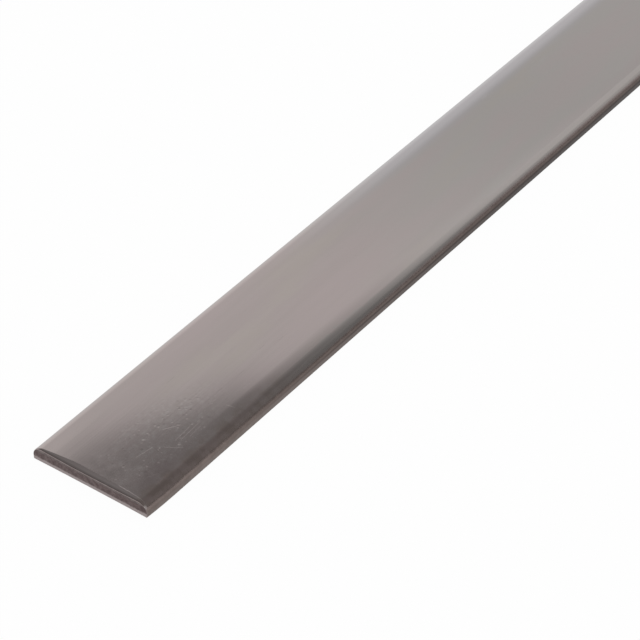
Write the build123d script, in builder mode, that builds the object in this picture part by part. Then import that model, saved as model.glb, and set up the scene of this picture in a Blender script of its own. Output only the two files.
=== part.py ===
from build123d import *
from math import asin, cos, degrees, radians, sin
import os

# Steel flat bar: a rolled section, cropped to length by a shear at both ends.
# Millimetres. +X runs along the bar and +Z is up.
# The origin is under the middle of the bar, on the face that it rests on.

# Stock size
length = 1000.0
width = 25.0
thickness = 3.0

# Rolled section: the top is flat along its middle, a shallow shoulder falls away
# to each side, the upper corners are well rounded and the lower ones nearly sharp
shoulder_width = 4.5
shoulder_radius = 106.0
top_corner_radius = 2.0
bottom_corner_radius = 0.15

# Cropped end, from the face that the blade pressed on to the opposite face: the
# edge is drawn down in a round rollover, the next band is cut smooth and square,
# the metal below it tears back, and the last of it breaks out at a steeper slope.
# The rollover is an arc of an ellipse. It stops this many degrees short of the
# ellipse's top, so that it leaves the face at a slight angle.
rollover_length = 0.9
rollover_depth = 0.55
rollover_lead = 10.0
burnish_height = 0.24
tear_recess = 0.03
breakout_height = 0.8
breakout_recess = 0.08

# The waste of each cut reaches this far past the bar's faces
cut_margin = 2.0

half_width = width / 2
land_half_width = half_width - shoulder_width
shoulder_angle = degrees(asin(shoulder_width / shoulder_radius))
cut_side = half_width + cut_margin

# The half axes of the rollover's ellipse, along the bar and upward
rollover_run = rollover_length / (1 - sin(radians(rollover_lead)))
rollover_rise = rollover_depth / cos(radians(rollover_lead))

# One cut is drawn on both of these planes: x runs into the bar, and y points out
# of the face that the blade pressed on. That is the top at the near end and the
# underside at the far end, as on each piece cropped from a longer bar. Both planes
# stand beside the bar, and the cut runs across it from there.
near_end = Plane(origin=(-length / 2, cut_side, thickness), x_dir=(1, 0, 0), z_dir=(0, -1, 0))
far_end = Plane(origin=(length / 2, cut_side, 0), x_dir=(-1, 0, 0), z_dir=(0, -1, 0))

with BuildPart() as flat_bar:
    # Half of the rolled section, mirrored and run along the bar
    with BuildSketch(Plane.YZ.offset(-length / 2)) as section:
        with BuildLine():
            land = Line((0, thickness), (land_half_width, thickness))
            shoulder = JernArc(land @ 1, land % 1, shoulder_radius, -shoulder_angle)
            wall = Line(shoulder @ 1, (half_width, 0))
            Line(wall @ 1, (0, 0))
            mirror(about=Plane.YZ)
        make_face()
        # The lowest vertices are the bottom corners. Each wall meets its shoulder
        # just below the land, so the top corners are the last but the highest.
        fillet(section.vertices().group_by(Axis.Y)[0], bottom_corner_radius)
        fillet(section.vertices().group_by(Axis.Y)[-2], top_corner_radius)
    extrude(amount=length)

    # The waste that the shear takes off each end, seen from the side
    with BuildSketch(near_end, far_end):
        with BuildLine():
            # The rollover starts at the face and is upright where the cut begins
            rollover = EllipticalCenterArc(
                (rollover_run, -rollover_depth),
                rollover_run,
                rollover_rise,
                start_angle=90 + rollover_lead,
                arc_size=90 - rollover_lead,
            )
            burnish = Line(rollover @ 1, (0, -rollover_depth - burnish_height))
            tear = Line(burnish @ 1, (tear_recess, breakout_height - thickness))
            breakout = Line(tear @ 1, (tear_recess + breakout_recess, -thickness))
            Polyline(
                breakout @ 1,
                (tear_recess + breakout_recess, -thickness - cut_margin),
                (-cut_margin, -thickness - cut_margin),
                (-cut_margin, cut_margin),
                (rollover_length, cut_margin),
                rollover @ 0,
            )
        make_face()
    extrude(amount=2 * cut_side, mode=Mode.SUBTRACT)

os.makedirs("parts", exist_ok=True)
flat_bar.part.label = "flat_bar"
export_step(flat_bar.part, "parts/flat_bar.step")
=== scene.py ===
import bpy
import math
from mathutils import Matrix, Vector, noise


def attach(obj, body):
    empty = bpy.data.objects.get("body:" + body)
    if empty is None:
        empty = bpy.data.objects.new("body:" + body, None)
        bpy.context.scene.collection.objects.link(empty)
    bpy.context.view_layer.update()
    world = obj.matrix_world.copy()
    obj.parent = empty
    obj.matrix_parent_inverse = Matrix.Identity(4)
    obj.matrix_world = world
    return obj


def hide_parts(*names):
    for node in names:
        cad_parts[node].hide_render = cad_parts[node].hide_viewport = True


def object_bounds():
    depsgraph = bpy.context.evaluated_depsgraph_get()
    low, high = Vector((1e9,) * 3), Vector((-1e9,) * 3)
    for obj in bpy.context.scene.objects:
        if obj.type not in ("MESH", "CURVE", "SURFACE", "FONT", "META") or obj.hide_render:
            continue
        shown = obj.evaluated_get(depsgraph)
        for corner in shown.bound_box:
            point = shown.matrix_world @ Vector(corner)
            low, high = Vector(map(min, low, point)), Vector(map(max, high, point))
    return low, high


# A steel flat bar, rolled with rounded edges and cropped by a shear, lying on a white floor.
# Everything is in metres and +X runs along the bar; mm turns a size in millimetres into metres.
mm = 0.001
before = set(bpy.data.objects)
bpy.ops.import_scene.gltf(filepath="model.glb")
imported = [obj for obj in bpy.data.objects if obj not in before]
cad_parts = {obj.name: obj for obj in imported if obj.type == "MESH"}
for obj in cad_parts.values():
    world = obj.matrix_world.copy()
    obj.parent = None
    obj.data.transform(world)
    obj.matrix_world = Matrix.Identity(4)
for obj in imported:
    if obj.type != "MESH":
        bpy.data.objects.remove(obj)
cadLow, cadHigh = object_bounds()
barLength = cadHigh.x - cadLow.x
barWidth = cadHigh.y - cadLow.y
barThickness = cadHigh.z - cadLow.z
print("frame loaded, bar", round(barLength, 4), "x", round(barWidth, 4), "x", round(barThickness, 4))


# helpers for the node trees

def addNode(tree, kind, **values):
    node = tree.nodes.new(kind)
    for name, value in values.items():
        setattr(node, name, value)
    return node


def feed(tree, target, source):
    # a socket is linked, a number or colour is set
    if isinstance(source, bpy.types.NodeSocket):
        tree.links.new(source, target)
    else:
        target.default_value = source


def maths(tree, operation, first, second=0.0, clamp=False):
    node = addNode(tree, "ShaderNodeMath", operation=operation, use_clamp=clamp)
    feed(tree, node.inputs[0], first)
    feed(tree, node.inputs[1], second)
    return node.outputs[0]


def vectorMaths(tree, operation, first, second=(0.0, 0.0, 0.0)):
    node = addNode(tree, "ShaderNodeVectorMath", operation=operation)
    feed(tree, node.inputs[0], first)
    feed(tree, node.inputs[1], second)
    return node.outputs["Value"] if operation in ("LENGTH", "DOT_PRODUCT") else node.outputs["Vector"]


def times(tree, first, *others):
    # the product of sockets and numbers
    for other in others:
        first = maths(tree, "MULTIPLY", first, other)
    return first


def most(tree, first, *others):
    # the largest of sockets and numbers
    for other in others:
        first = maths(tree, "MAXIMUM", first, other)
    return first


def ramp(tree, value, low, high, outLow=0.0, outHigh=1.0):
    # smooth step from one level to another
    node = addNode(tree, "ShaderNodeMapRange", interpolation_type="SMOOTHSTEP")
    for socket, source in zip(node.inputs, (value, low, high, outLow, outHigh)):
        feed(tree, socket, source)
    return node.outputs[0]


def mixColour(tree, factor, first, second):
    # the colour sockets of this node come after its number and vector ones
    node = addNode(tree, "ShaderNodeMix", data_type="RGBA")
    feed(tree, node.inputs[0], factor)
    feed(tree, node.inputs[6], first)
    feed(tree, node.inputs[7], second)
    return node.outputs[2]


def mixValue(tree, factor, first, second):
    node = addNode(tree, "ShaderNodeMix", data_type="FLOAT")
    feed(tree, node.inputs[0], factor)
    feed(tree, node.inputs[2], first)
    feed(tree, node.inputs[3], second)
    return node.outputs[0]


def noiseTexture(tree, vector, scale=1.0, detail=2.0, roughness=0.5):
    node = addNode(tree, "ShaderNodeTexNoise")
    feed(tree, node.inputs["Vector"], vector)
    feed(tree, node.inputs["Scale"], scale)
    feed(tree, node.inputs["Detail"], detail)
    feed(tree, node.inputs["Roughness"], roughness)
    return node.outputs["Fac"]


def newGroup(name, inputs, output):
    # a vector input has a tuple for its value, and the one output is a number
    group = bpy.data.node_groups.new(name, "ShaderNodeTree")
    for label, value in inputs.items():
        kind = "NodeSocketVector" if isinstance(value, tuple) else "NodeSocketFloat"
        socket = group.interface.new_socket(name=label, in_out="INPUT", socket_type=kind)
        socket.default_value = value
    group.interface.new_socket(name=output, in_out="OUTPUT", socket_type="NodeSocketFloat")
    return group, group.nodes.new("NodeGroupInput").outputs, group.nodes.new("NodeGroupOutput").inputs


def placeGroup(tree, group, values):
    node = addNode(tree, "ShaderNodeGroup", node_tree=group)
    for label, value in values.items():
        feed(tree, node.inputs[label], value)
    return node.outputs[0]


# effects that the finishes share; every Place is a position in millimetres

def grainGroup():
    # lines left by the rolls or the blade, or slow changes of tone: noise drawn out along one axis
    group, given, out = newGroup("grain", {"Place": (0.0, 0.0, 0.0), "Stretch": (1.0, 1.0, 1.0),
                                           "Fineness": 1.0}, "Shade")
    drawn = vectorMaths(group, "MULTIPLY", given["Place"], given["Stretch"])
    feed(group, out["Shade"], noiseTexture(group, drawn, given["Fineness"], detail=5.0, roughness=0.62))
    return group


def scratchGroup():
    # thin broken lines: the narrow ridges of a drawn-out noise, kept where a second noise is over
    # a limit, which Amount lowers
    keptStretch, bare, spread, fade = (0.21, 0.9, 0.9), 0.78, 0.4, 0.06
    group, given, out = newGroup("scratches", {"Place": (0.0, 0.0, 0.0), "Stretch": (1.0, 1.0, 1.0),
                                               "Width": 0.02, "Amount": 0.5}, "Mask")
    drawn = vectorMaths(group, "MULTIPLY", given["Place"], given["Stretch"])
    ridge = maths(group, "ABSOLUTE", maths(group, "SUBTRACT", noiseTexture(group, drawn, 1.0, 1.0), 0.5))
    line = ramp(group, ridge, 0.0, given["Width"], 1.0, 0.0)
    second = noiseTexture(group, vectorMaths(group, "MULTIPLY", given["Place"], keptStretch))
    limit = maths(group, "SUBTRACT", bare, times(group, given["Amount"], spread))
    kept = ramp(group, second, limit, maths(group, "ADD", limit, fade))
    feed(group, out["Mask"], times(group, line, kept))
    return group


def speckGroup():
    # small pits and pressed-in grit: some of the cells of a cell pattern have a dot
    smallest, core = 0.5, 0.4   # share of the radius, and of it the part that is fully covered
    group, given, out = newGroup("specks", {"Place": (0.0, 0.0, 0.0), "Spacing": 1.0, "Radius": 0.2,
                                            "Amount": 0.5}, "Mask")
    cells = addNode(group, "ShaderNodeTexVoronoi", feature="F1")
    feed(group, cells.inputs["Vector"], given["Place"])
    feed(group, cells.inputs["Scale"], maths(group, "DIVIDE", 1.0, given["Spacing"]))
    pick = addNode(group, "ShaderNodeSeparateColor")
    feed(group, pick.inputs[0], cells.outputs["Color"])
    size = times(group, given["Radius"], maths(group, "ADD", pick.outputs[1], smallest))
    dot = ramp(group, cells.outputs["Distance"], times(group, size, core), size, 1.0, 0.0)
    kept = maths(group, "LESS_THAN", pick.outputs[0], given["Amount"])
    feed(group, out["Mask"], times(group, dot, kept))
    return group


def markGroup():
    # one straight mark between two points, fading at its sides from its core outwards
    core = 0.3
    group, given, out = newGroup("mark", {"Place": (0.0, 0.0, 0.0), "Start": (0.0, 0.0, 0.0),
                                          "Run": (1.0, 0.0, 0.0), "Width": 0.1}, "Mask")
    away = vectorMaths(group, "SUBTRACT", given["Place"], given["Start"])
    along = maths(group, "DIVIDE", vectorMaths(group, "DOT_PRODUCT", away, given["Run"]),
                  vectorMaths(group, "DOT_PRODUCT", given["Run"], given["Run"]), clamp=True)
    scaled = addNode(group, "ShaderNodeVectorMath", operation="SCALE")
    feed(group, scaled.inputs[0], given["Run"])
    feed(group, scaled.inputs["Scale"], along)
    gap = vectorMaths(group, "LENGTH", vectorMaths(group, "SUBTRACT", away, scaled.outputs[0]))
    feed(group, out["Mask"], ramp(group, gap, times(group, given["Width"], core), given["Width"], 1.0, 0.0))
    return group


def stainGroup():
    # soft blotches of oxide with uneven edges
    bare, spread = 0.8, 0.6     # the noise level that leaves all bare, and how far Cover lowers it
    group, given, out = newGroup("stain", {"Place": (0.0, 0.0, 0.0), "Size": 4.0, "Cover": 0.5,
                                           "Softness": 0.1}, "Mask")
    shrunk = maths(group, "DIVIDE", 1.0, given["Size"])
    cloud = noiseTexture(group, given["Place"], shrunk, detail=5.0, roughness=0.6)
    limit = maths(group, "SUBTRACT", bare, times(group, given["Cover"], spread))
    feed(group, out["Mask"], ramp(group, cloud, maths(group, "SUBTRACT", limit, given["Softness"]),
                                  maths(group, "ADD", limit, given["Softness"])))
    return group


def patchGroup():
    # a soft-edged oval on the bar, for what belongs to one place
    group, given, out = newGroup("patch", {"Place": (0.0, 0.0, 0.0), "Centre": (0.0, 0.0, 0.0),
                                           "Reach": (1.0, 1.0, 1.0), "Edge": 0.5}, "Mask")
    away = vectorMaths(group, "DIVIDE", vectorMaths(group, "SUBTRACT", given["Place"], given["Centre"]),
                       given["Reach"])
    far = vectorMaths(group, "LENGTH", away)
    feed(group, out["Mask"], ramp(group, far, maths(group, "SUBTRACT", 1.0, given["Edge"]), 1.0, 1.0, 0.0))
    return group


grain, scratches, specks = grainGroup(), scratchGroup(), speckGroup()
mark, stain, patch = markGroup(), stainGroup(), patchGroup()


# the bar

bar = {
    "shoulderWidth": 4.5 * mm,
    "shoulderRadius": 106.0 * mm,
    "topCorner": 2.0 * mm,
    "bottomCorner": 0.15 * mm,
    # how long the rollover is at places across the bar: mm from the +Y side, mm along the bar
    "rolloverLengths": ((0.0, 0.22), (1.4, 0.30), (2.8, 0.45), (5.0, 0.66), (8.4, 0.95), (13.0, 1.0),
                        (17.0, 0.9), (20.5, 0.72), (23.0, 0.52), (25.0, 0.40)),
    "rolloverDepth": 0.55 * mm,
    "rolloverFall": 0.3,        # share of the depth that is lost at the sides
    "rolloverWaver": 0.20,      # how strongly noise varies the rollover across the bar
    "waverFineness": 150.0,
    "rolloverEnd": 82.0,        # steepest slope of the rollover, in degrees
    "rolloverSteps": 12,
    "burnishHeight": 0.24 * mm,
    "tearRecess": 0.03 * mm,
    "breakoutHeight": 0.80 * mm,
    "breakoutRecess": 0.07 * mm,
    "cutBow": 0.7,              # how much less the cut is recessed at the sides
    "cutReach": 1.6 * mm,       # how far in the unevenness of a cut face fades out
    "tearRoughness": 0.03 * mm,
    "tearFade": 0.2 * mm,       # height over which the torn metal sets in below the burnished band
    "tearLevel": 0.5,
    # each noise of the torn metal: strength, fineness across and up, and shift of its seed
    "tearNoises": ((0.8, 700.0, 500.0, 0.0), (0.5, 3600.0, 2600.0, 7.0)),
    "pullIn": 0.22 * mm,        # the shear draws the free side in a little
    "pullReach": 7.0 * mm,
    "cornerSteps": 18,
    "shoulderSteps": 20,
    "landSteps": 72,
    "wallSteps": 22,
    # rings past the rollover, mm from where it starts
    "endRings": (0.06, 0.15, 0.27, 0.42, 0.6, 0.82, 1.1, 1.5, 2.0, 2.7, 3.6, 4.8, 6.4, 8.5),
    "plainStart": 11.0 * mm,    # from here on the rings are the plain section
    "ringSpacing": 12.0 * mm,
    "seeds": {"near": 3.0, "far": 11.0},
    "sharpAngle": 38.0,         # edges that turn by more than this stay sharp, in degrees
}


def topLine():
    # the top from the -Y wall to the +Y wall; each side runs over the corner and the shoulder
    half = barWidth / 2
    landHalf = half - bar["shoulderWidth"]
    corner, shoulder = bar["topCorner"], bar["shoulderRadius"]
    # the corner's centre is one radius in from the wall and one under the shoulder
    centreY = half - corner
    lean = math.asin((centreY - landHalf) / (shoulder - corner))
    centreZ = barThickness - shoulder + (shoulder - corner) * math.cos(lean)
    side = []
    for i in range(bar["cornerSteps"] + 1):
        angle = (math.pi / 2 - lean) * i / bar["cornerSteps"]
        side.append((centreY + corner * math.cos(angle), centreZ + corner * math.sin(angle)))
    for i in range(1, bar["shoulderSteps"] + 1):
        angle = lean * (1 - i / bar["shoulderSteps"])
        side.append((landHalf + shoulder * math.sin(angle),
                     barThickness - shoulder * (1 - math.cos(angle))))
    land = [(landHalf * (2 * i / bar["landSteps"] - 1), barThickness)
            for i in range(1, bar["landSteps"])]
    return [(-y, z) for y, z in side] + land + side[::-1]


def bottomLine(count):
    # from the -Y wall under the bar to the +Y wall, with as many points as the top
    half = barWidth / 2
    corner = bar["bottomCorner"]
    side = []
    for i in range(bar["cornerSteps"] + 1):
        angle = math.pi / 2 * i / bar["cornerSteps"]
        side.append((-half + corner * (1 - math.cos(angle)), corner * (1 - math.sin(angle))))
    flatSteps = count - 2 * len(side) + 1
    flatHalf = half - corner
    flat = [(-flatHalf + 2 * flatHalf * i / flatSteps, 0.0) for i in range(1, flatSteps)]
    return side + flat + [(-y, z) for y, z in reversed(side)]


def rolloverAt(y, seed):
    # length and depth of the rollover at one place across the bar
    across = (barWidth / 2 - y) / mm
    stops = bar["rolloverLengths"]
    length = stops[-1][1]
    for (start, first), (end, second) in zip(stops, stops[1:]):
        if across < end:
            share = max(0.0, (across - start) / (end - start))
            length = first + (second - first) * share
            break
    waver = 1 + bar["rolloverWaver"] * noise.noise(Vector((y * bar["waverFineness"], 0.0, seed)))
    edge = abs(y) / (barWidth / 2)
    return length * mm * waver, bar["rolloverDepth"] * (1 - bar["rolloverFall"] * edge ** 4) * waver


def tearTop(y, seed):
    return barThickness - rolloverAt(y, seed)[1] - bar["burnishHeight"]


def recess(y, height, seed):
    # how far the cut face stands back at a height over the face opposite the blade
    bow = 1 - bar["cutBow"] * (y / (barWidth / 2)) ** 2
    top = tearTop(y, seed)
    if height >= top:
        return 0.0
    if height >= bar["breakoutHeight"]:
        return bow * bar["tearRecess"] * (top - height) / (top - bar["breakoutHeight"])
    return bow * (bar["tearRecess"] + bar["breakoutRecess"] * (1 - height / bar["breakoutHeight"]))


def tornMetal(y, height, seed):
    # torn, uneven metal below the burnished band
    fade = min(1.0, max(0.0, (tearTop(y, seed) - height) / bar["tearFade"]))
    uneven = bar["tearLevel"]
    for strength, across, up, shift in bar["tearNoises"]:
        uneven += strength * noise.noise(Vector((y * across, height * up, seed + shift)))
    return fade * bar["tearRoughness"] * max(0.0, uneven)


def ringSlopes():
    # rings over the rollover at even changes of slope, from the cut inwards, then the plain rings
    steps = bar["rolloverSteps"]
    steep = [math.radians(bar["rolloverEnd"]) * (1 - i / steps) for i in range(steps + 1)]
    return [(slope, 0.0) for slope in steep] + [(0.0, gap * mm) for gap in bar["endRings"]]


def turnAt(length, depth, slope):
    # how far round the rollover's ellipse the surface reaches a slope
    return math.atan2(length * math.sin(slope), depth * math.cos(slope))


def cropped(y, height, slope, past, seed):
    # a point of the rolled section, moved to where the cut leaves it; the rollover is a quarter
    # of an ellipse that starts level on the blade's side and ends steeply at the cut
    length, depth = rolloverAt(y, seed)
    turn = turnAt(length, depth, slope)
    steepest = turnAt(length, depth, math.radians(bar["rolloverEnd"]))
    inward = length * (1 - math.sin(turn) / math.sin(steepest)) + past
    height -= depth * (1 - math.cos(turn)) * (height / barThickness) ** 2
    stand = 0.0
    if inward < bar["cutReach"]:
        stand = (recess(y, height, seed) + tornMetal(y, height, seed)) * (1 - inward / bar["cutReach"])
    if y < 0 and inward < bar["pullReach"]:
        y += bar["pullIn"] * (1 - inward / bar["pullReach"]) ** 2 * (-y / (barWidth / 2)) ** 4
    return inward + stand, y, height


def makeBar():
    top = topLine()
    bottom = bottomLine(len(top))
    columns = len(top) - 1
    rows = bar["wallSteps"]
    seeds = bar["seeds"]

    # one closed loop round the section: under, up the +Y wall, over, down the -Y wall
    loop = [(k, 0) for k in range(columns + 1)]
    loop += [(columns, j) for j in range(1, rows)]
    loop += [(k, rows) for k in range(columns, -1, -1)]
    loop += [(0, j) for j in range(rows - 1, 0, -1)]

    def sectionPoint(k, j):
        if j == 0:
            return bottom[k]
        if j == rows:
            return top[k]
        low, high = bottom[0 if k == 0 else -1], top[0 if k == 0 else -1]
        return low[0] + (high[0] - low[0]) * j / rows, low[1] + (high[1] - low[1]) * j / rows

    ends = ringSlopes()
    plain = bar["plainStart"]
    span = barLength - 2 * plain
    steps = round(span / bar["ringSpacing"])
    rings = [("near", slope, past) for slope, past in ends]
    rings += [("middle", 0.0, plain + span * i / steps) for i in range(steps + 1)]
    rings += [("far", slope, past) for slope, past in reversed(ends)]

    def placed(y, z, where, slope, past):
        if where == "near":
            x, y, height = cropped(y, z, slope, past, seeds[where])
            return (-barLength / 2 + x, y, height)
        if where == "far":
            # here the blade came from below, because the cut is the same one turned over
            x, y, height = cropped(y, barThickness - z, slope, past, seeds[where])
            return (barLength / 2 - x, y, barThickness - height)
        return (-barLength / 2 + past, y, z)

    points, faces, skin = [], [], []
    for ring in rings:
        points += [placed(*sectionPoint(k, j), *ring) for k, j in loop]
    size = len(loop)
    for ring in range(len(rings) - 1):
        start = ring * size
        for i in range(size):
            after = (i + 1) % size
            faces.append((start + i, start + after, start + size + after, start + size + i))
            skin.append(0)

    # the two cut faces are grids whose rims are the first and the last ring
    rim = {place: i for i, place in enumerate(loop)}
    for where, ringStart in (("near", 0), ("far", (len(rings) - 1) * size)):
        grid = {}
        for k in range(columns + 1):
            low = points[ringStart + rim[(k, 0)]]
            high = points[ringStart + rim[(k, rows)]]
            for j in range(rows + 1):
                if (k, j) in rim:
                    grid[(k, j)] = ringStart + rim[(k, j)]
                    continue
                share = j / rows
                y = low[1] + (high[1] - low[1]) * share
                z = low[2] + (high[2] - low[2]) * share
                height = z if where == "near" else barThickness - z
                stand = recess(y, height, seeds[where]) + tornMetal(y, height, seeds[where])
                x = -barLength / 2 + stand if where == "near" else barLength / 2 - stand
                grid[(k, j)] = len(points)
                points.append((x, y, z))
        for k in range(columns):
            for j in range(rows):
                quad = (grid[(k, j)], grid[(k, j + 1)], grid[(k + 1, j + 1)], grid[(k + 1, j)])
                faces.append(quad if where == "near" else quad[::-1])
                skin.append(1)

    mesh = bpy.data.meshes.new("flatBar")
    mesh.from_pydata(points, [], faces)
    mesh.materials.append(rolledSkin())
    mesh.materials.append(shearedFace())
    mesh.polygons.foreach_set("material_index", skin)
    mesh.shade_smooth()
    mesh.set_sharp_from_angle(angle=math.radians(bar["sharpAngle"]))
    mesh.validate()
    piece = bpy.data.objects.new("flatBar", mesh)
    bpy.context.scene.collection.objects.link(piece)
    print("bar made,", len(mesh.vertices), "points,", len(mesh.polygons), "faces")
    return piece


# finishes

skinFinish = {
    "steel": (0.366, 0.321, 0.312, 1.0),
    "steelDeep": (0.343, 0.299, 0.290, 1.0),
    "steelFar": (0.348, 0.328, 0.315, 1.0),     # greyer, away from the ends
    "flush": (0.372, 0.314, 0.312, 1.0),        # faint pinkish clouds
    "straw": (0.366, 0.330, 0.300, 1.0),        # and faint yellowish ones between them
    "shoulderFar": (0.354, 0.337, 0.343, 1.0),  # bluer, on the +Y shoulder
    "edge": (0.380, 0.309, 0.294, 1.0),         # browner, on the -Y rounded edge
    "edgeFar": (0.345, 0.317, 0.305, 1.0),
    "smudge": (0.262, 0.212, 0.184, 1.0),       # olive-brown smudges along the -Y edge
    "scaleAndShade": (0.168, 0.134, 0.122, 1.0),        # brown scale of the rolled sides, darkened as painted shade
    "scaleAndShadeFar": (0.048, 0.036, 0.033, 1.0),
    "sideReflection": (0.262, 0.212, 0.197, 1.0),    # its upper part, lighter as a painted reflection
    "sideReflectionFar": (0.168, 0.133, 0.122, 1.0),
    "oxideThin": (0.292, 0.230, 0.220, 1.0),    # its last film on the rounded edge
    "seam": (0.030, 0.020, 0.018, 1.0),         # dark line along the side
    "bruise": (0.200, 0.150, 0.155, 1.0),       # purple-brown stain
    "scuff": (0.430, 0.395, 0.385, 1.0),
    "pit": (0.215, 0.185, 0.178, 1.0),
    "rim": (0.250, 0.206, 0.199, 1.0),          # painted shade on the steep last of the rollover
    "arrisHighlight": (0.800, 0.730, 0.710, 1.0),        # painted highlight on the -Y corner of the near cut end

    # where one thing gives way to the next along the bar, in mm from the nearer end
    "greyerFrom": (60.0, 115.0),
    "strawFrom": (12.0, 40.0),
    "edgeGreyerFrom": (15.0, 55.0),
    "smudgeTo": (26.0, 46.0),
    "shadeDarkerFrom": (5.0, 130.0),
    "highDarkerFrom": (0.0, 38.0),
    "thinFrom": (30.0, 80.0),
    "seamFrom": (15.0, 70.0),
    "rimTo": (0.05, 0.24),
    # and across it, in mm from its middle
    "shoulderFrom": (7.0, 9.5),
    "edgeTo": (-11.0, -10.2),
    "smudgeAcross": (-10.6, -8.2),
    "sideFrom": (11.3, 11.8),
    "cornerFrom": (11.3, 11.75),
    # and up the side, in mm over the floor
    "topFrom": (1.2, 1.8),
    "highFrom": (1.1, 1.9),
    "thinOver": (1.85, 2.2),
    "scaleTop": (1.85, 2.25),
    "scaleTopFar": (2.0, 2.56),
    "seamHeight": 1.25,
    "seamSpread": (0.04, 0.32),                 # distance from the seam over which it fades
    # and by the level of a noise
    "toneLevels": (0.3, 0.7),
    "lineLevels": (0.55, 0.75),
    "flushLevels": (0.42, 0.68),
    "strawLevels": (0.32, 0.5),

    # how strongly each one shows
    "lineShow": 0.2,
    "flushShow": 0.45,
    "strawShow": 0.5,
    "smudgeShow": 0.46,
    "scaleShow": 0.25,
    "seamShow": 0.6,
    "gritShow": 0.2,
    "strewnShow": 0.14,
    "fineShow": 0.15,
    "marksShow": 0.1,
    "rolloverHighlightShow": 0.5,
    "bruiseShow": 0.3,
    "mottleShow": 0.6,
    "pitShow": 0.45,
    "rubbedAndHighlitShow": 0.6,
    "rimLeast": 0.5,                            # where the broken noise thins the rim

    # settings of the shared effects
    "rollLines": {"Stretch": (0.035, 1.0, 1.0), "Fineness": 2.6},
    "tone": {"Stretch": (0.012, 0.16, 0.16), "Fineness": 1.0},
    "clouds": {"Stretch": (0.03, 0.13, 0.13), "Fineness": 0.9},
    "ragged": {"Stretch": (0.4, 1.0, 1.0), "Fineness": 1.1},
    "raggedReach": 3.0,                         # mm by which noise moves the brown edge
    "smudges": {"Size": 2.4, "Cover": 0.5, "Softness": 0.1},
    "scale": {"Size": 1.6, "Cover": 0.5, "Softness": 0.22},
    "haze": {"Centre": (-499.0, -4.0, 3.0), "Reach": (12.0, 14.0, 4.0), "Edge": 0.9},
    "scuffed": {"Centre": (-486.0, -4.0, 3.0), "Reach": (20.0, 9.5, 4.0), "Edge": 0.7},
    "cloud": {"Size": 2.6, "Cover": 0.62, "Softness": 0.2},
    "mottle": {"Size": 1.0, "Cover": 0.42, "Softness": 0.12},
    "pitted": {"Spacing": 1.0, "Radius": 0.3, "Amount": 0.5},
    "grit": {"Spacing": 0.8, "Radius": 0.28, "Amount": 0.55},
    "strewn": {"Spacing": 3.4, "Radius": 0.06, "Amount": 0.35},
    "fine": {"Stretch": (0.05, 1.5, 1.5), "Width": 0.012, "Amount": 0.30},
    "bruised": {"Centre": (-492.0, -8.6, 3.0), "Reach": (10.0, 3.2, 4.0), "Edge": 0.8},
    "blotch": {"Size": 4.5, "Cover": 0.6, "Softness": 0.15},
    "broken": {"Size": 1.1, "Cover": 0.6, "Softness": 0.2},
    # where the painted highlight on the -Y corner of the cut end sits
    "arrisHighlightSpot": {"Centre": (-500.0, -12.2, 2.35), "Reach": (0.7, 0.7, 0.7), "Edge": 0.6},
    # single scratches: mm from the cut end and from the +Y side at the start, then at the
    # end, and the half width
    "marks": (
        (16.0, 19.3, 21.5, 19.0, 0.10), (15.2, 18.6, 19.4, 18.4, 0.08),
        (17.5, 20.0, 20.6, 19.8, 0.08), (27.6, 19.9, 27.9, 21.6, 0.10),
        (44.0, 24.0, 47.5, 23.8, 0.08), (12.8, 18.2, 14.6, 20.8, 0.14),
        (16.2, 15.2, 18.8, 16.8, 0.16), (22.0, 13.5, 23.5, 15.2, 0.10),
        (8.0, 16.0, 11.5, 16.6, 0.10), (33.0, 17.2, 36.5, 16.9, 0.07),
        (5.0, 20.5, 7.2, 21.6, 0.12), (52.0, 12.0, 58.0, 11.6, 0.06),
    ),
    # a thin painted highlight line where the rollover begins, given like the scratches
    "rolloverHighlight": (
        (0.95, 18.2, 0.86, 20.5, 0.09), (0.86, 20.5, 0.66, 22.6, 0.10),
        (0.66, 22.6, 0.50, 24.2, 0.11),
    ),

    # roughness of the clean rolled face, what some things add to it, and that of the others
    "gloss": 0.042,
    "lineGloss": 0.02,
    "hazeGloss": 0.03,
    "cornerGloss": 0.09,
    "oxideGloss": 0.34,
    "scuffGloss": 0.38,
    "arrisGloss": 0.45,
    # depth of the relief, in mm
    "grainDepth": 0.0005,
    "scratchDepth": 0.004,
    "scaleDepth": 0.016,
}


def newSteel(name):
    # a metal with its node tree, and the place on the bar in mm, whole and by axis
    material = bpy.data.materials.new(name)
    material.use_nodes = True
    tree = material.node_tree
    tree.nodes["Principled BSDF"].inputs["Metallic"].default_value = 1.0
    place = addNode(tree, "ShaderNodeTexCoord").outputs["Object"]
    place = vectorMaths(tree, "MULTIPLY", place, (1 / mm, 1 / mm, 1 / mm))
    split = addNode(tree, "ShaderNodeSeparateXYZ")
    feed(tree, split.inputs[0], place)
    return material, tree, place, split.outputs


def dressSteel(tree, colour, gloss, relief):
    # the bump and the last links, the same for both finishes
    steel = tree.nodes["Principled BSDF"]
    bump = addNode(tree, "ShaderNodeBump")
    feed(tree, bump.inputs["Strength"], 1.0)
    feed(tree, bump.inputs["Distance"], mm)
    feed(tree, bump.inputs["Height"], relief)
    feed(tree, steel.inputs["Base Color"], colour)
    feed(tree, steel.inputs["Roughness"], gloss)
    feed(tree, steel.inputs["Normal"], bump.outputs[0])


def linesOnTop(tree, lines, place):
    # straight marks on the top near the cut end, laid flat so that they follow the rounded edges
    flat = vectorMaths(tree, "MULTIPLY", place, (1.0, 1.0, 0.0))
    found = 0.0
    for startX, startY, endX, endY, width in lines:
        found = most(tree, found, placeGroup(tree, mark, {
            "Place": flat, "Start": (startX - barLength / mm / 2, barWidth / mm / 2 - startY, 0.0),
            "Run": (endX - startX, startY - endY, 0.0), "Width": width}))
    return found


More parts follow.
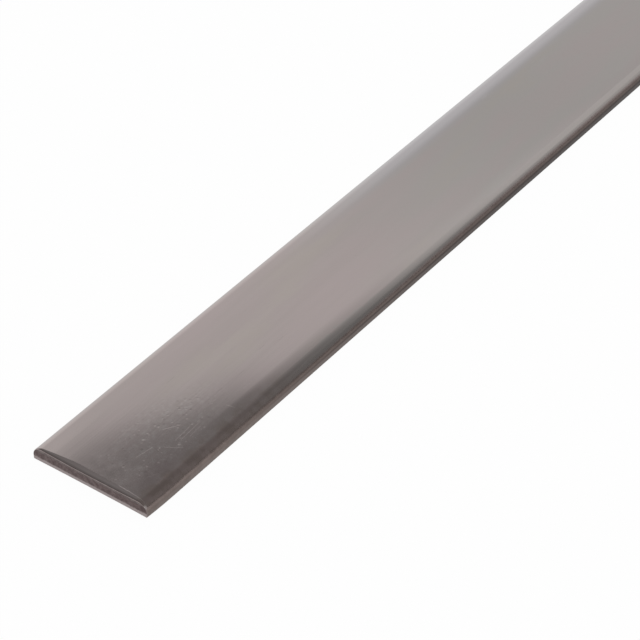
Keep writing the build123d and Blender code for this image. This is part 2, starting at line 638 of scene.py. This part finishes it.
def rolledSkin():
    look = skinFinish
    material, tree, place, (x, y, z) = newSteel("rolledSkin")

    def effect(group, name):
        return placeGroup(tree, group, {"Place": place, **look[name]})

    def shows(mask, name):
        return times(tree, mask, look[name])

    def tint(factor, colour, name):
        return mixColour(tree, factor, colour, look[name])

    fromEnd = maths(tree, "SUBTRACT", barLength / mm / 2, maths(tree, "ABSOLUTE", x))
    outward = maths(tree, "ABSOLUTE", y)
    onTop = ramp(tree, z, *look["topFrom"])

    # rolling lines, slow changes of tone and faint clouds along the bar
    lines = effect(grain, "rollLines")
    clouds = effect(grain, "clouds")
    away = ramp(tree, fromEnd, *look["greyerFrom"])
    colour = tint(ramp(tree, effect(grain, "tone"), *look["toneLevels"]), look["steelDeep"], "steel")
    colour = tint(shows(ramp(tree, lines, *look["lineLevels"]), "lineShow"), colour, "steelDeep")
    colour = tint(away, colour, "steelFar")
    colour = tint(ramp(tree, clouds, *look["flushLevels"], 0.0, look["flushShow"]), colour, "flush")
    straw = times(tree, ramp(tree, clouds, *look["strawLevels"], look["strawShow"], 0.0),
                  ramp(tree, fromEnd, *look["strawFrom"]))
    colour = tint(straw, colour, "straw")
    colour = tint(times(tree, away, ramp(tree, y, *look["shoulderFrom"])), colour, "shoulderFar")

    # the browner -Y rounded edge, which has a ragged inner side, and the smudges along it
    ragged = times(tree, maths(tree, "SUBTRACT", effect(grain, "ragged"), 0.5), look["raggedReach"])
    byEdge = ramp(tree, maths(tree, "ADD", y, ragged), *look["edgeTo"], 1.0, 0.0)
    edge = tint(ramp(tree, fromEnd, *look["edgeGreyerFrom"]), look["edge"], "edgeFar")
    colour = mixColour(tree, byEdge, colour, edge)
    smudge = times(tree, effect(stain, "smudges"),
                   ramp(tree, y, *look["smudgeAcross"], look["smudgeShow"], 0.0),
                   ramp(tree, fromEnd, *look["smudgeTo"], 1.0, 0.0))
    colour = tint(smudge, colour, "smudge")

    # brown scale on the rolled sides, darkened as painted shade and more so away from the ends, a lighter
    # upper band near the end that is a painted reflection, and a dark line along it
    farther = ramp(tree, fromEnd, *look["shadeDarkerFrom"])
    scaleTop = [mixValue(tree, farther, near, far)
                for near, far in zip(look["scaleTop"], look["scaleTopFar"])]
    side = times(tree, ramp(tree, outward, *look["sideFrom"]), ramp(tree, z, *scaleTop, 1.0, 0.0))
    scale = effect(stain, "scale")
    flecks = shows(scale, "scaleShow")
    scaleAndShade = tint(most(tree, farther, flecks), look["scaleAndShade"], "scaleAndShadeFar")
    high = tint(ramp(tree, fromEnd, *look["highDarkerFrom"]), look["sideReflection"], "sideReflectionFar")
    high = tint(flecks, high, "scaleAndShadeFar")
    scaleAndShade = mixColour(tree, ramp(tree, z, *look["highFrom"]), scaleAndShade, high)
    thin = times(tree, ramp(tree, z, *look["thinOver"]), ramp(tree, fromEnd, *look["thinFrom"]))
    scaleAndShade = tint(thin, scaleAndShade, "oxideThin")
    fromSeam = maths(tree, "ABSOLUTE", maths(tree, "SUBTRACT", z, look["seamHeight"]))
    seam = times(tree, ramp(tree, fromSeam, *look["seamSpread"], 1.0, 0.0),
                 ramp(tree, fromEnd, *look["seamFrom"], 0.0, look["seamShow"]))
    scaleAndShade = tint(seam, scaleAndShade, "seam")
    colour = mixColour(tree, side, colour, scaleAndShade)

    # what handling and the shear left near the end: scuffs, pits, pressed-in grit and a stain, and among
    # the scuffs a painted highlight line where the rollover begins
    cloud = effect(stain, "cloud")
    scuffed = times(tree, effect(patch, "scuffed"), cloud)
    mottle = times(tree, effect(stain, "mottle"), scuffed)
    pitted = times(tree, effect(specks, "pitted"), scuffed)
    rubbedAndHighlit = most(tree, shows(times(tree, effect(specks, "grit"), scuffed), "gritShow"),
                  shows(effect(specks, "strewn"), "strewnShow"),
                  shows(effect(scratches, "fine"), "fineShow"),
                  shows(linesOnTop(tree, look["marks"], place), "marksShow"),
                  # a painted highlight line where the rollover begins
                  shows(linesOnTop(tree, look["rolloverHighlight"], place), "rolloverHighlightShow"))
    rubbedAndHighlit = times(tree, rubbedAndHighlit, onTop)
    bruise = times(tree, effect(patch, "bruised"), effect(stain, "blotch"))
    colour = tint(shows(bruise, "bruiseShow"), colour, "bruise")
    colour = tint(shows(mottle, "mottleShow"), colour, "scuff")
    colour = tint(shows(pitted, "pitShow"), colour, "pit")
    colour = tint(shows(rubbedAndHighlit, "rubbedAndHighlitShow"), colour, "scuff")
    # painted shade on the steep last of the rollover at the cut ends, thinned by broken noise
    rim = times(tree, ramp(tree, fromEnd, *look["rimTo"], 1.0, 0.0),
                ramp(tree, effect(stain, "broken"), 0.0, 1.0, look["rimLeast"], 1.0))
    colour = tint(rim, colour, "rim")
    # a painted highlight on the -Y corner of the near cut end, lighter and rougher than the steel round it
    arrisHighlight = effect(patch, "arrisHighlightSpot")
    colour = tint(arrisHighlight, colour, "arrisHighlight")

    gloss = look["gloss"]
    for added in (shows(lines, "lineGloss"), shows(times(tree, effect(patch, "haze"), cloud), "hazeGloss"),
                  shows(ramp(tree, outward, *look["cornerFrom"]), "cornerGloss")):
        gloss = maths(tree, "ADD", gloss, added)
    for mask, name in ((side, "oxideGloss"), (rubbedAndHighlit, "scuffGloss"), (arrisHighlight, "arrisGloss")):
        gloss = mixValue(tree, mask, gloss, look[name])

    relief = maths(tree, "SUBTRACT", shows(lines, "grainDepth"), shows(rubbedAndHighlit, "scratchDepth"))
    relief = maths(tree, "ADD", relief, shows(times(tree, scale, side), "scaleDepth"))
    dressSteel(tree, colour, gloss, relief)
    return material


cutFinish = {
    # the burnished band is painted dark as shade, in two tones varied by noise
    "burnished": (0.150, 0.124, 0.120, 1.0),
    "burnishedDeep": (0.100, 0.081, 0.079, 1.0),
    "torn": (0.168, 0.126, 0.123, 1.0),
    "tornDeep": (0.098, 0.068, 0.067, 1.0),
    "broken": (0.340, 0.290, 0.286, 1.0),
    # heights over the side opposite the blade, in mm, where the bands of the cut change
    "brokenTo": (0.62, 0.92),
    "burnishedFrom": (2.1, 2.24),
    "wander": 0.5,                  # mm by which noise moves the top of the breakout
    "deeperAcross": (-9.5, -6.5),   # mm from the middle
    "deeperShow": 0.35,
    "wornLevels": (0.4, 0.6),
    "drag": {"Stretch": (1.0, 1.3, 0.35), "Fineness": 2.2},
    "pits": {"Size": 0.7, "Cover": 0.5, "Softness": 0.2},
    "corner": {"Centre": (-500.0, -11.5, 1.7), "Reach": (1.0, 1.0, 1.2), "Edge": 0.6},
    "worn": {"Stretch": (1.0, 0.5, 0.5), "Fineness": 1.6},
    "burnishedGloss": 0.22,
    "tornGloss": 0.5,
    "tornDepth": 0.05,              # relief in mm
    "pitDepth": -0.03,
}


def shearedFace():
    look = cutFinish
    material, tree, place, (x, y, z) = newSteel("shearedFace")

    def effect(group, name):
        return placeGroup(tree, group, {"Place": place, **look[name]})

    # height over the side opposite the blade, which is the top at the far end
    turned = maths(tree, "GREATER_THAN", x, 0.0)
    height = mixValue(tree, turned, z, maths(tree, "SUBTRACT", barThickness / mm, z))
    drag = effect(grain, "drag")
    pits = effect(stain, "pits")
    level = maths(tree, "ADD", height,
                  times(tree, maths(tree, "SUBTRACT", drag, 0.5), look["wander"]))

    # the metal is torn deeper towards the -Y side, and most at its corner
    deeper = times(tree, ramp(tree, y, *look["deeperAcross"], 1.0, 0.0), look["deeperShow"])
    deeper = most(tree, pits, deeper, effect(patch, "corner"))
    torn = mixColour(tree, deeper, look["torn"], look["tornDeep"])
    colour = mixColour(tree, ramp(tree, level, *look["brokenTo"], 1.0, 0.0), torn, look["broken"])
    # the burnished band near the top of the cut, painted dark as shade
    bright = ramp(tree, height, *look["burnishedFrom"])
    worn = ramp(tree, effect(grain, "worn"), *look["wornLevels"])
    burnished = mixColour(tree, worn, look["burnishedDeep"], look["burnished"])
    colour = mixColour(tree, bright, colour, burnished)
    gloss = mixValue(tree, bright, look["tornGloss"], look["burnishedGloss"])
    relief = maths(tree, "ADD", times(tree, drag, look["tornDepth"]), times(tree, pits, look["pitDepth"]))
    dressSteel(tree, colour, gloss, times(tree, relief, maths(tree, "SUBTRACT", 1.0, bright)))
    return material


# studio

studio = {
    "lens": 146.626,
    "sensor": 36.0,
    "clip": (0.01, 100.0),
    "place": (-734.33 * mm, -220.551 * mm, 298.678 * mm),
    "yaw": 36.3967,             # degrees from +X towards +Y
    "pitch": 39.3842,           # degrees below the horizon
    "floorSize": 40.0,
    "floorColour": (0.9, 0.9, 0.9, 1.0),
    "floorShow": 0.97,          # how much of the seen floor is plain white, without the shadow
    # the room turns from its first to its last bearing, in degrees from +X; every stop below
    # starts with a bearing, or with the sine of the height over the horizon where it says so
    "bearings": (-100.0, 125.0),
    # light of the walls, by height
    "wallLight": ((0.0, 1.22), (0.45, 1.20), (0.545, 1.15), (0.60, 1.05), (0.64, 1.0), (0.68, 1.0)),
    # a dimmer panel low on the wall, with a slanting side: how far its side turns with height,
    # the bearings and the heights over which it fades out, and how much light it takes
    "panelSlant": 1.6,
    "panelSide": (31.9, 34.7),
    "panelTop": (0.56, 0.635),
    "panelDimmed": 0.23,
    # height of the edge between the walls and the ceiling, by bearing, and how soft it is
    "wallEdge": ((-52, 0.05), (-46, 0.30), (-42, 0.43), (-38, 0.54), (-32, 0.635), (-25.6, 0.694),
                 (-16, 0.742), (-5, 0.765), (6, 0.768), (18, 0.745), (28.3, 0.701), (33.5, 0.661),
                 (36, 0.659), (38, 0.6545), (39, 0.6545), (40, 0.6585), (42, 0.6645),
                 (43.2, 0.668), (44, 0.6735), (46, 0.684), (95, 0.66), (112, 0.4), (120, 0.0)),
    "edgeSoftness": ((-52, 0.15), (-42, 0.12), (-38, 0.10), (-32, 0.09), (-25.6, 0.065), (-16, 0.048),
                     (6, 0.04), (18, 0.048), (28, 0.056), (34, 0.045), (36.3, 0.026), (38, 0.011),
                     (40, 0.006), (60, 0.005)),
    # share of the walls' light that is left, by bearing, and light of the ceiling
    "wallFade": ((-52, 0.33), (-45, 0.52), (-41, 0.74), (-38, 0.86), (-34, 0.95), (-28, 1.0)),
    "ceilingLight": ((-100, 0.32), (-62, 0.31), (-48, 0.28), (-38, 0.265), (6, 0.27), (21, 0.295),
                     (30, 0.32), (38, 0.36), (44, 0.355), (60, 0.38), (102, 0.38), (125, 0.30)),
    "unlit": (0.0, 0.0, 0.0, 1.0),
    "lampPlace": (-0.3, 0.2, 1.8),
    "lampSize": 1.6,
    "lampPower": 14.0,
}


def makeCamera():
    data = bpy.data.cameras.new("camera")
    data.lens = studio["lens"]
    data.sensor_width = studio["sensor"]
    data.clip_start, data.clip_end = studio["clip"]
    camera = bpy.data.objects.new("camera", data)
    yaw, pitch = math.radians(studio["yaw"]), math.radians(studio["pitch"])
    ahead = Vector((math.cos(yaw) * math.cos(pitch), math.sin(yaw) * math.cos(pitch),
                    -math.sin(pitch)))
    camera.location = studio["place"]
    camera.rotation_euler = ahead.to_track_quat("-Z", "Y").to_euler()
    bpy.context.scene.collection.objects.link(camera)
    bpy.context.scene.camera = camera


def makeFloor():
    half = studio["floorSize"] / 2
    mesh = bpy.data.meshes.new("floor")
    corners = [(-half, -half, 0), (half, -half, 0), (half, half, 0), (-half, half, 0)]
    mesh.from_pydata(corners, [], [(0, 1, 2, 3)])
    floor = bpy.data.objects.new("floor", mesh)
    bpy.context.scene.collection.objects.link(floor)
    material = bpy.data.materials.new("whiteFloor")
    material.use_nodes = True
    tree = material.node_tree
    tree.nodes.clear()
    path = addNode(tree, "ShaderNodeLightPath")
    seen = maths(tree, "ADD", path.outputs["Is Camera Ray"], path.outputs["Is Glossy Ray"], clamp=True)
    seen = maths(tree, "ADD", seen, path.outputs["Is Transmission Ray"], clamp=True)
    matt = addNode(tree, "ShaderNodeBsdfDiffuse")
    matt.inputs["Color"].default_value = studio["floorColour"]
    white = addNode(tree, "ShaderNodeEmission")
    mix = addNode(tree, "ShaderNodeMixShader")
    feed(tree, mix.inputs[0], times(tree, seen, studio["floorShow"]))
    feed(tree, mix.inputs[1], matt.outputs[0])
    feed(tree, mix.inputs[2], white.outputs[0])
    output = addNode(tree, "ShaderNodeOutputMaterial")
    feed(tree, output.inputs["Surface"], mix.outputs[0])
    mesh.materials.append(material)


def makeWorld():
    # white walls under a darker ceiling, fading where the stops say so
    world = bpy.data.worlds.new("studioRoom")
    bpy.context.scene.world = world
    world.use_nodes = True
    tree = world.node_tree
    tree.nodes.clear()
    way = addNode(tree, "ShaderNodeTexCoord").outputs["Generated"]
    split = addNode(tree, "ShaderNodeSeparateXYZ")
    feed(tree, split.inputs[0], way)
    height = split.outputs["Z"]
    turn = maths(tree, "ARCTAN2", split.outputs["Y"], split.outputs["X"])
    first, last = studio["bearings"]
    share = maths(tree, "DIVIDE", maths(tree, "SUBTRACT", turn, math.radians(first)),
                  math.radians(last - first), clamp=True)

    def stopsRamp(value, stops):
        node = addNode(tree, "ShaderNodeValToRGB")
        elements = node.color_ramp.elements
        elements[0].position, elements[1].position = stops[0][0], stops[-1][0]
        for place, light in stops[1:-1]:
            elements.new(place)
        for element, (place, light) in zip(elements, stops):
            element.color = (light, light, light, 1.0)
        feed(tree, node.inputs[0], value)
        return node.outputs[0]

    def byBearing(name):
        return stopsRamp(share, [((bearing - first) / (last - first), level)
                                 for bearing, level in studio[name]])

    over = maths(tree, "SUBTRACT", height, byBearing("wallEdge"))
    above = ramp(tree, maths(tree, "DIVIDE", over, byBearing("edgeSoftness")), -1.0, 1.0)
    overPanel = maths(tree, "SUBTRACT", height, studio["panelTop"][0])
    slanted = maths(tree, "SUBTRACT", turn, times(tree, studio["panelSlant"], overPanel))
    beside = ramp(tree, slanted, *map(math.radians, studio["panelSide"]), 1.0, 0.0)
    panel = times(tree, beside, ramp(tree, height, *studio["panelTop"], studio["panelDimmed"], 0.0))
    lit = times(tree, maths(tree, "SUBTRACT", 1.0, panel), byBearing("wallFade"))
    walls = mixColour(tree, lit, studio["unlit"], stopsRamp(height, studio["wallLight"]))
    light = mixColour(tree, above, walls, byBearing("ceilingLight"))
    room = addNode(tree, "ShaderNodeBackground")
    feed(tree, room.inputs["Color"], light)
    output = addNode(tree, "ShaderNodeOutputWorld")
    feed(tree, output.inputs["Surface"], room.outputs[0])


def makeLamp():
    # a large soft lamp overhead, for the floor and the shadow on it
    data = bpy.data.lights.new("softLamp", "AREA")
    data.shape = "SQUARE"
    data.size = studio["lampSize"]
    data.energy = studio["lampPower"]
    lamp = bpy.data.objects.new("softLamp", data)
    lamp.location = studio["lampPlace"]
    lamp.visible_glossy = False
    bpy.context.scene.collection.objects.link(lamp)


makeCamera()
makeFloor()
makeWorld()
makeLamp()
print("studio made")

flatBar = makeBar()
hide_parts("flat_bar")
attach(flatBar, "root")

bpy.context.scene.view_settings.view_transform = "Standard"
